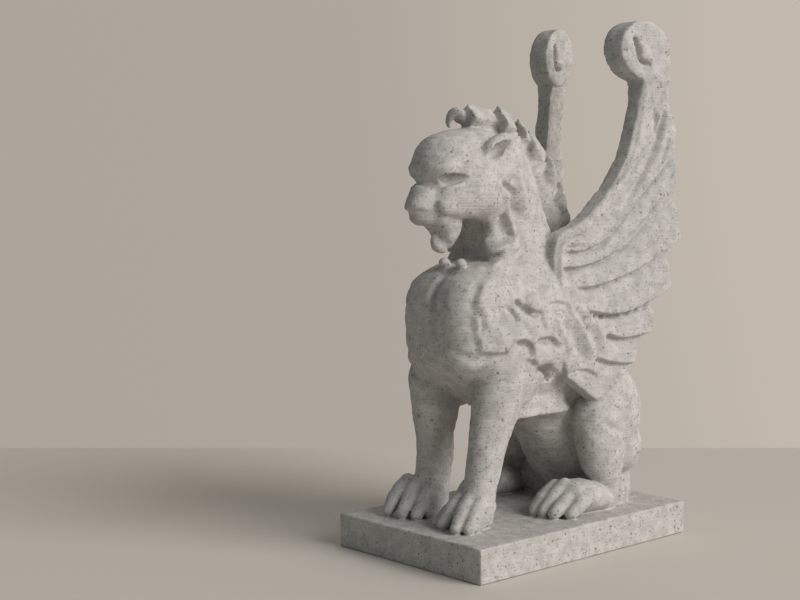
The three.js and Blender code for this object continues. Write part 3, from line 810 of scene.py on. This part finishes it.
# short carved lines on the stem and the shoulder: a line, its half width and its height
QUILLS = [
    ([(28.4, 91.4), (27.9, 89.4), (27.3, 87.4)], 0.8, -0.8),
    ([(31.0, 91.0), (30.0, 88.0), (28.6, 84.6)], 0.8, -0.8),
    ([(29.7, 90.8), (28.9, 88.4), (28.0, 86.2)], 0.7, 0.5),
    ([(31.6, 84.6), (30.4, 81.4), (28.6, 78.6)], 0.8, -0.6),
    ([(31.3, 90.4), (29.1, 85.7), (26.7, 81.1), (22.9, 75.3), (17.5, 68.9)], 1.0, -0.7),
    ([(31.9, 88.4), (30.0, 84.2), (27.6, 79.8), (23.9, 74.3), (18.5, 68.3)], 0.8, 0.35),
    ([(33.2, 78.4), (30.2, 73.6), (25.6, 68.4), (20.4, 63.9), (14.0, 60.2)], 0.8, -0.4),
    ([(24.8, 82.6), (21, 78.6), (17.6, 75.6)], 0.7, -0.4),
    ([(30.6, 70.6), (27.6, 67.6), (24.6, 65.2)], 0.7, 0.4),
    ([(27.8, 62.8), (24.6, 60.4), (21, 58.6)], 0.7, 0.35),
    ([(1.6, 59.4), (4.6, 59.9), (8.2, 60.0)], 0.8, -0.9),
    ([(7.6, 58.6), (11, 59.6), (14.4, 61.8)], 0.7, -0.6),
    ([(1.2, 54.8), (3.6, 54.6), (6.0, 54.8)], 0.8, -0.8),
]
BLADE_THICKNESS = 3.6
# the scroll at the wing's end: a disc of a thickness, drawn like the blade
SCROLL_PLACE, SCROLL_RADIUS, SCROLL_THICKNESS = (25.8, 104.4), 6.8, 5.4
# the right wing's stem is straighter than the left one's
STEM_FRONT = [(23.9, 97.5), (23.6, 92.5), (23.5, 87), (23.2, 81)]
STEM_BACK = [(31.6, 82), (31.4, 86.4), (31.2, 91), (31.2, 94), (31.4, 104)]
# a place on the wing's middle plane, and how far the plane leans outwards along y and z
PLANE_PLACE = (13.5, 23.5, 93)
LEAN_BACK, LEAN_UP = 0.25, -0.085
wing_mid = (
    PLANE_PLACE[0]
    + LEAN_BACK * (body.axes[1][:, None] - PLANE_PLACE[1])
    + LEAN_UP * (body.axes[2][None, :] - PLANE_PLACE[2])
)
tilt = 1 / math.sqrt(1 + LEAN_BACK**2 + LEAN_UP**2)

plumes = Sheet(body)
for line, depth, width in FEATHERS:
    plumes.step(line, width, depth)
    plumes.stroke([(y, z + 0.5) for y, z in line], 0.9, 0.35, 0.08)
    plumes.stroke([(y + 0.1, z - 0.3) for y, z in line], 0.75, -0.55, 0.08)
for line, width, height in QUILLS:
    plumes.stroke(line, width, height, 0.3)
# the fifth feather's edge is twisted like a rope: strands along a line that rises towards the back
ROPE_STRANDS, ROPE_PITCH = 9, 2.3
ROPE_START = (6.5, 44.9)
ROPE_BEND, ROPE_RISE = 12, 0.012
for k in range(ROPE_STRANDS):
    y = ROPE_START[0] + ROPE_PITCH * k
    z = ROPE_START[1] + ROPE_RISE * max(y - ROPE_BEND, 0) ** 2
    plumes.stroke([(y - 1.3, z - 0.5), (y, z), (y + 1.3, z + 0.9)], 0.65, 0.9, 0.4)
    plumes.stroke([(y - 0.6, z - 1.0), (y + 1.0, z - 0.3)], 0.5, -0.7, 0.4)
# a rim along the leading edge
LOW_RIM = [(0.3, 40), (0.3, 48), (0.2, 54), (0.5, 58.4), (1.6, 61.2), (3.6, 62.8), (7.2, 64.4), (12, 68.6)]
HIGH_RIM = [(10, 66.6), (17, 73.6), (21.2, 79.8), (23.4, 86), (25, 92), (25.6, 98)]
plumes.stroke(LOW_RIM, 1.0, 0.6)
plumes.stroke(HIGH_RIM, 1.0, 0.5)
# the shoulder's last leaf over the feathers' roots, and the bar at the wing's foot
plumes.step([(2.8, 48.4), (7.2, 45.2), (10.2, 41), (11.6, 35.6)], 3.5, -0.9, fade=0.2)
plumes.stroke([(-0.8, 45.4), (2.4, 40.6), (5.6, 34.2)], 2.0, -0.8)
plumes.stroke([(1.4, 46.6), (5.0, 42), (8.0, 35.6)], 1.4, 0.6)
plumes.stroke([(1.0, 31.7), (3.6, 32.5), (6.4, 32.2), (8.4, 30.8)], 0.7, -0.9)

left_blade, right_blade = [
    plumes.region([*back, *[tuple(p) for p in smooth_line(front, 6)]])
    for front, back in (
        (FRONT_EDGE, TRAILING_EDGE),
        ([*STEM_FRONT, *FRONT_EDGE[4:]], [*TRAILING_EDGE[:-5], *STEM_BACK]),
    )
]
disc = np.hypot(plumes.across - SCROLL_PLACE[0], plumes.up - SCROLL_PLACE[1]) - SCROLL_RADIUS
# the scroll's face: a hooked groove between two low ridges
curl = Sheet(body)
curl.stroke([(22.8, 107.4), (23.5, 104.6), (24.3, 102.0), (27.0, 101.2)], 0.85, -1.7)
curl.stroke([(21.2, 107), (20.6, 104), (21.4, 101), (23.6, 99.2), (26, 98.4)], 1.3, 0.25)
curl.stroke([(24.6, 106.4), (25.4, 104), (27.2, 102.6)], 1.0, 0.3)
# over a height below the scroll the blade thickens until it is flush with it
FLUSH_START, FLUSH_HEIGHT = 92, 6
plumes.height += (
    (SCROLL_THICKNESS - BLADE_THICKNESS) / 2 * np.clip((plumes.up - FLUSH_START) / FLUSH_HEIGHT, 0, 1)
)


def wing_form(side, outline, thickness, outer, inner, edge):
    """A wing's form: an outline given thickness, with a relief on its outer and inner face."""

    def shape(x, y, z):
        ax = side * x - wing_mid[None, cut_y, cut_z]
        out = ax * tilt - thickness / 2 - outer[None, cut_y, cut_z]
        back = -ax * tilt - thickness / 2 - inner[None, cut_y, cut_z]
        flat = np.maximum(out, back)
        line = outline[None, cut_y, cut_z]
        a, b = flat + edge, line + edge
        outside = np.sqrt(np.maximum(a, 0) ** 2 + np.maximum(b, 0) ** 2)
        return outside + np.minimum(np.maximum(a, b), 0) - edge

    low, high = WING_BOX
    if side < 0:
        low, high = (-high[0], *low[1:]), (-low[0], *high[1:])
    return shape, low, high


WING_BOX = (4, -4, 24), (20.8, 34.2, FIGURE_HEIGHT + 0.5)
WING_BLEND = 0.4
# the inner face has the same carving, fainter
INNER_SHARE = 0.4
cut, _ = body.part(*WING_BOX, margin(WING_BLEND))
cut_y, cut_z = cut[1], cut[2]
for side, blade in ((1, left_blade), (-1, right_blade)):
    carving = plumes.height, INNER_SHARE * plumes.height
    body.add(wing_form(side, blade, BLADE_THICKNESS, *carving, 0.3), WING_BLEND)
    body.add(wing_form(side, disc, SCROLL_THICKNESS, curl.height, curl.height, 0.4), WING_BLEND)

# The plinth
half_x, half_y = PLINTH[0] / 2, PLINTH[1] / 2
body.add(block((-half_x, -half_y, -PLINTH[2]), (half_x, half_y, 0), 0.3), 0.25)


# A slightly rough print: bumps a millimetre or two wide and thin uneven layers, fainter on the
# plinth and none on its underside


def lattice(clay, spans, seed):
    """Smooth random numbers over the clay, with spans as their size along x, y and z."""
    field = np.random.default_rng(seed).normal(
        size=[int(len(axis) * STEP / span) + 3 for axis, span in zip(clay.axes, spans)]
    )
    for k, (axis, span) in enumerate(zip(clay.axes, spans)):
        place = np.arange(len(axis)) * STEP / span
        low = place.astype(int)
        share = (place - low).reshape([-1 if j == k else 1 for j in range(3)])
        field = field.take(low, k) * (1 - share) + field.take(low + 1, k) * share
    return field.astype(np.float32)


ROUGHNESS = [
    # size along x, y and z, height
    ((1.5, 1.5, 1.1), 0.085),
    ((3.2, 3.2, 0.45), 0.05),
]
# the height over the underside at which it starts, the height over which it grows, and its share
# on the plinth
ROUGH_START, ROUGH_GROWTH, PLINTH_SHARE = 0.6, 1.5, 0.4
up = body.axes[2]
rough_share = np.clip((up + PLINTH[2] - ROUGH_START) / ROUGH_GROWTH, 0, 1)
rough_share = rough_share * np.clip(1 - PLINTH_SHARE + up, PLINTH_SHARE, 1)
for seed, (spans, height) in enumerate(ROUGHNESS):
    body.field += (height * rough_share).astype(np.float32) * lattice(body, spans, seed)

# Skin


def fill_pinches(clay):
    """Fills the grid's corners where two stretches of the surface would touch along an edge."""
    field = clay.field
    corners = list(itertools.product((0, 1), (0, 1)))

    def at_corner(grid, u, v, i, j):
        cut = [slice(None)] * 3
        cut[u] = slice(i, grid.shape[u] - 1 + i)
        cut[v] = slice(j, grid.shape[v] - 1 + j)
        return grid[tuple(cut)]

    while True:
        inside = field < 0
        found = np.zeros_like(inside)
        for u, v in ((0, 1), (0, 2), (1, 2)):
            a, b, c, d = (at_corner(inside, u, v, i, j) for i, j in corners)
            pinched = (a == d) & (b == c) & (a != b)
            for i, j in corners:
                touched = at_corner(found, u, v, i, j)
                touched |= pinched
        found &= ~inside
        if not found.any():
            return
        field[found] = -0.05 * STEP


def largest(points, triangles):
    """The largest surface of a mesh, without loose crumbs and bubbles."""
    label = np.arange(len(points))
    while True:
        lower = label.copy()
        np.minimum.at(lower, triangles, label[triangles].min(1)[:, None])
        lower = lower[lower]
        if (lower == label).all():
            break
        label = lower
    kept = label == np.bincount(label).argmax()
    number = np.cumsum(kept) - 1
    return points[kept], number[triangles[kept[triangles[:, 0]]]]


def skin(clay):
    """The surface of the field at 0, as places and triangles."""
    f = clay.field
    inside = f < 0
    nx, ny, nz = f.shape
    count = np.zeros((nx - 1, ny - 1, nz - 1), np.uint8)
    for i in (0, 1):
        for j in (0, 1):
            for k in (0, 1):
                count += inside[i : nx - 1 + i, j : ny - 1 + j, k : nz - 1 + k]
    cells = np.argwhere((count > 0) & (count < 8))
    total = np.zeros((len(cells), 3))
    crossings = np.zeros(len(cells))
    for axis in range(3):
        others = [a for a in range(3) if a != axis]
        for p in (0, 1):
            for q in (0, 1):
                corner = np.zeros(3, int)
                corner[others[0]], corner[others[1]] = p, q
                a = cells + corner
                b = a.copy()
                b[:, axis] += 1
                fa, fb = f[tuple(a.T)].astype(float), f[tuple(b.T)].astype(float)
                crossed = (fa < 0) != (fb < 0)
                t = np.where(crossed, fa / np.where(crossed, fa - fb, 1), 0)
                place = a.astype(float)
                place[:, axis] += t
                total += place * crossed[:, None]
                crossings += crossed
    points = total / crossings[:, None]
    number = np.full(count.shape, -1, np.int32)
    number[tuple(cells.T)] = np.arange(len(cells))
    quads = []
    for axis in range(3):
        u, v = [a for a in range(3) if a != axis]
        low = [slice(1, n - 1) for n in f.shape]
        low[axis] = slice(0, f.shape[axis] - 1)
        high = list(low)
        high[axis] = slice(1, f.shape[axis])
        starts, ends = inside[tuple(low)], inside[tuple(high)]
        for sense in (True, False):
            edges = np.argwhere(starts & ~ends if sense else ends & ~starts)
            edges = edges + np.array([low[a].start for a in range(3)])
            ring = []
            for p, q in ((1, 1), (0, 1), (0, 0), (1, 0)):
                cell = edges.copy()
                cell[:, u] -= p
                cell[:, v] -= q
                ring.append(number[tuple(cell.T)])
            quad = np.stack(ring, 1)
            quads.append(quad if sense == (axis != 1) else quad[:, ::-1])
    quads = np.concatenate(quads)
    triangles = np.concatenate([quads[:, [0, 1, 2]], quads[:, [0, 2, 3]]])
    origin = np.array([axis[0] for axis in clay.axes])
    return origin + points * STEP, triangles


fill_pinches(body)
points, triangles = largest(*skin(body))
points = np.clip(points, (-half_x, -half_y, -PLINTH[2]), (half_x, half_y, FIGURE_HEIGHT))

# The piece
MM = 0.001
TRIANGLE_BUDGET = 196000

mesh = bpy.data.meshes.new("griffin")
mesh.vertices.add(len(points))
mesh.vertices.foreach_set("co", ((points + (0, 0, PLINTH[2])) * MM).ravel())
mesh.loops.add(triangles.size)
mesh.loops.foreach_set("vertex_index", triangles.ravel())
mesh.polygons.add(len(triangles))
mesh.polygons.foreach_set("loop_start", np.arange(0, triangles.size, 3))
mesh.update(calc_edges=True)
mesh.validate()
griffin = bpy.data.objects.new("griffin", mesh)
bpy.context.scene.collection.objects.link(griffin)
if len(triangles) > TRIANGLE_BUDGET:
    fewer = griffin.modifiers.new("fewer", "DECIMATE")
    fewer.ratio = TRIANGLE_BUDGET / len(triangles)
    bpy.context.view_layer.update()
    kept = bpy.data.meshes.new_from_object(
        griffin.evaluated_get(bpy.context.evaluated_depsgraph_get())
    )
    griffin.modifiers.clear()
    griffin.data = kept
griffin.data.polygons.foreach_set("use_smooth", np.ones(len(griffin.data.polygons), bool))
print("triangles", len(triangles), "kept", len(griffin.data.polygons))


# Materials


class Nodes:
    """Adds and links a material's nodes."""

    def __init__(self, name):
        self.material = bpy.data.materials.new(name)
        self.material.use_nodes = True
        self.tree = self.material.node_tree
        self.tree.nodes.clear()

    def add(self, kind, inputs=None, **settings):
        """A node with its settings and the inputs that are constants or linked."""
        node = self.tree.nodes.new(kind)
        for name, value in settings.items():
            setattr(node, name, value)
        for key, value in (inputs or {}).items():
            self.feed(node.inputs[key], value)
        return node

    def feed(self, socket, value):
        """Sets an input to a constant, or links it to an output."""
        if isinstance(value, bpy.types.NodeSocket):
            self.tree.links.new(value, socket)
        else:
            socket.default_value = value

    def noise(self, vector, scale, detail):
        return self.add("ShaderNodeTexNoise", {"Vector": vector, "Scale": scale, "Detail": detail})

    def math(self, operation, a, b, clamp=False):
        node = self.add("ShaderNodeMath", {0: a, 1: b}, operation=operation, use_clamp=clamp)
        return node.outputs[0]

    def mix(self, share, a, b):
        """A blend of two colours."""
        node = self.add("ShaderNodeMix", data_type="RGBA")
        for name, value in (("Factor_Float", share), ("A_Color", a), ("B_Color", b)):
            socket = next(s for s in node.inputs if s.identifier == name)
            self.feed(socket, (*value, 1) if isinstance(value, tuple) else value)
        return next(s for s in node.outputs if s.identifier == "Result_Color")


# the print's colours, and how strongly one is laid over another
GREY, PALE = (0.425, 0.417, 0.394), (0.58, 0.558, 0.541)
GRAIN, GRAIN_SHARE = (0.38, 0.365, 0.35), 0.35
SPECK, SPECK_SHARE, FINE_SPECK_SHARE = (0.09, 0.09, 0.088), 0.66, 0.5
# the noise at which a grey patch turns pale, and how sharply patches and specks end
PATCH_START, PATCH_CONTRAST, SPECK_CONTRAST = 0.345, 3.2, 8.0
SPECK_WANDER = 0.9
LAYER_STRETCH = (0.12, 0.12, 2.6)


def stone_print():
    """Matt grey plastic with soft patches, grain and two sizes of dark specks, and faint layers."""
    n = Nodes("speckled print")
    place = n.add("ShaderNodeTexCoord").outputs["Object"]
    in_mm = n.add("ShaderNodeVectorMath", {0: place, "Scale": 1 / MM}, operation="SCALE").outputs[0]

    # specks: cells of a pattern on places that are shifted a little, which makes them ragged
    wander = n.noise(in_mm, scale=1.7, detail=2).outputs["Color"]
    shift = {0: wander, 1: (SPECK_WANDER, SPECK_WANDER, SPECK_WANDER), 2: in_mm}
    ragged = n.add("ShaderNodeVectorMath", shift, operation="MULTIPLY_ADD").outputs[0]

    def specks(cells_per_mm, size, share):
        """1 in the specks, which a share of the cells has, each up to a size, and 0 around them."""
        cell = n.add("ShaderNodeTexVoronoi", {"Scale": cells_per_mm, "Vector": ragged}, feature="F1")
        parts = n.add("ShaderNodeSeparateColor", {0: cell.outputs["Color"]}).outputs
        chosen = n.math("LESS_THAN", parts[0], share)
        reach = n.math("MULTIPLY", parts[1], size)
        near = n.math("SUBTRACT", reach, cell.outputs["Distance"])
        soft = n.math("MULTIPLY", near, SPECK_CONTRAST, clamp=True)
        return n.math("MULTIPLY", chosen, soft)

    cloud = n.noise(in_mm, scale=0.4, detail=4).outputs[0]
    over_start = n.math("SUBTRACT", cloud, PATCH_START)
    patches = n.math("MULTIPLY", over_start, PATCH_CONTRAST, clamp=True)
    base = n.mix(patches, GREY, PALE)
    grain = n.noise(in_mm, scale=1.6, detail=2).outputs[0]
    base = n.mix(n.math("MULTIPLY", grain, GRAIN_SHARE), base, GRAIN)
    fine = n.math("MULTIPLY", specks(cells_per_mm=2.2, size=0.72, share=0.60), FINE_SPECK_SHARE)
    dark = n.math("MAXIMUM", fine, specks(cells_per_mm=1.2, size=0.44, share=0.26))
    base = n.mix(n.math("MULTIPLY", dark, SPECK_SHARE), base, SPECK)

    # layer lines: noise that is stretched level
    level = n.add("ShaderNodeMapping", {"Vector": in_mm, "Scale": LAYER_STRETCH}).outputs[0]
    lines = n.noise(level, scale=1.0, detail=3).outputs[0]
    bump = n.add("ShaderNodeBump", {"Strength": 0.8, "Distance": 0.2 * MM, "Height": lines})

    look = {"Base Color": base, "Normal": bump.outputs[0], "Roughness": 0.62, "Specular IOR Level": 0.3}
    shader = n.add("ShaderNodeBsdfPrincipled", look)
    n.add("ShaderNodeOutputMaterial", {0: shader.outputs[0]})
    return n.material


def floor_paper():
    """Plain matt pale paper."""
    n = Nodes("floor")
    shader = n.add("ShaderNodeBsdfPrincipled", {"Base Color": (0.60, 0.57, 0.52, 1), "Roughness": 0.9})
    n.add("ShaderNodeOutputMaterial", {0: shader.outputs[0]})
    return n.material


griffin.data.materials.append(stone_print())
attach(griffin, "root")
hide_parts("griffin_statue")

# Floor, in metres, turned with the camera so that its far edge is level in the picture
FLOOR_BEHIND, FLOOR_BEFORE, FLOOR_ASIDE = 0.115, 0.6, 0.7
VIEW_TURN = math.radians(47.693)
VIEW_DOWN = math.radians(4.544)
floor_mesh = bpy.data.meshes.new("floor")
floor_mesh.from_pydata(
    [
        (-FLOOR_ASIDE, -FLOOR_BEFORE, 0),
        (FLOOR_ASIDE, -FLOOR_BEFORE, 0),
        (FLOOR_ASIDE, FLOOR_BEHIND, 0),
        (-FLOOR_ASIDE, FLOOR_BEHIND, 0),
    ],
    [],
    [(0, 1, 2, 3)],
)
floor = bpy.data.objects.new("floor", floor_mesh)
floor.rotation_euler = (0, 0, VIEW_TURN)
bpy.context.scene.collection.objects.link(floor)
floor_mesh.materials.append(floor_paper())

# The studio: a shade for each direction, dark in front of the griffin and pale behind it
PALE_SIDE = (0.30, 0.95, 0.12)
world = bpy.data.worlds.new("studio")
bpy.context.scene.world = world
world.use_nodes = True
sky = world.node_tree
toward = sky.nodes.new("ShaderNodeTexCoord")
facing = sky.nodes.new("ShaderNodeVectorMath")
facing.operation = "DOT_PRODUCT"
facing.inputs[1].default_value = PALE_SIDE
sky.links.new(toward.outputs["Generated"], facing.inputs[0])
shades = sky.nodes.new("ShaderNodeValToRGB")
sky.links.new(facing.outputs["Value"], shades.inputs[0])
SHADES = [
    # place on the ramp, colour
    (0.0, (0.165, 0.184, 0.186)),
    (0.10, (0.418, 0.376, 0.332)),
    (0.40, (0.425, 0.382, 0.337)),
    (0.62, (0.546, 0.485, 0.423)),
]
for stop, (place, color) in enumerate(SHADES):
    mark = shades.color_ramp.elements[stop] if stop < 2 else shades.color_ramp.elements.new(place)
    mark.position = place
    mark.color = (*color, 1)
sky.links.new(shades.outputs[0], sky.nodes["Background"].inputs["Color"])

# The key light: a large soft disc at the griffin's left and a little behind it
KEY_PLACE, KEY_TARGET = Vector((2.75, 0.77, 1.54)), Vector((0, 0, 0.06))
key_light = bpy.data.lights.new("key", "AREA")
key_light.shape = "DISK"
key_light.size = 2.4
key_light.energy = 96
key_light.color = (1.0, 0.97, 0.965)
key = bpy.data.objects.new("key", key_light)
key.location = KEY_PLACE
key.rotation_euler = (KEY_TARGET - KEY_PLACE).to_track_quat("-Z", "Y").to_euler()
bpy.context.scene.collection.objects.link(key)

# The camera, as solved from the plinth's corners in the photograph
camera_data = bpy.data.cameras.new("camera")
camera_data.sensor_width = 36
camera_data.lens = 64.54
camera_data.clip_start = 0.01
camera = bpy.data.objects.new("camera", camera_data)
camera.location = (0.2225, -0.2384, 0.08104)
camera.rotation_euler = (math.radians(90) - VIEW_DOWN, 0, VIEW_TURN)
bpy.context.scene.collection.objects.link(camera)
bpy.context.scene.camera = camera
bpy.context.scene.view_settings.view_transform = "Standard"
